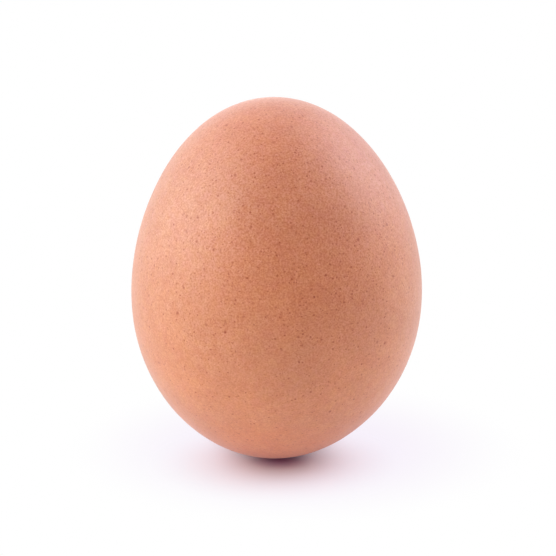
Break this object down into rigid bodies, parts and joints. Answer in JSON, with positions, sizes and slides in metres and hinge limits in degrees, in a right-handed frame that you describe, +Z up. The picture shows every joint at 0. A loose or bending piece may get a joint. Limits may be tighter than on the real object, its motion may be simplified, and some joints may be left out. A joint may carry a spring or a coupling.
{
  "type": "egg",
  "caption": "Brown hen's egg in its shell, standing upright on its blunt end on a small flat spot, with a fine stipple of darker speckles.",
  "frame": {"origin": "centre of the small flat spot under the blunt end, which the egg stands on", "axes": "+Z up along the egg's long axis, from the blunt end to the pointed end; +X towards the side that its middle bows to by about 0.4 mm"},
  "size_m": [0.0446, 0.0446, 0.0564],
  "materials": {
    "shell": "matte"
  },
  "bodies": {
    "root": {"egg": "shell"}
  },
  "joints": []
}
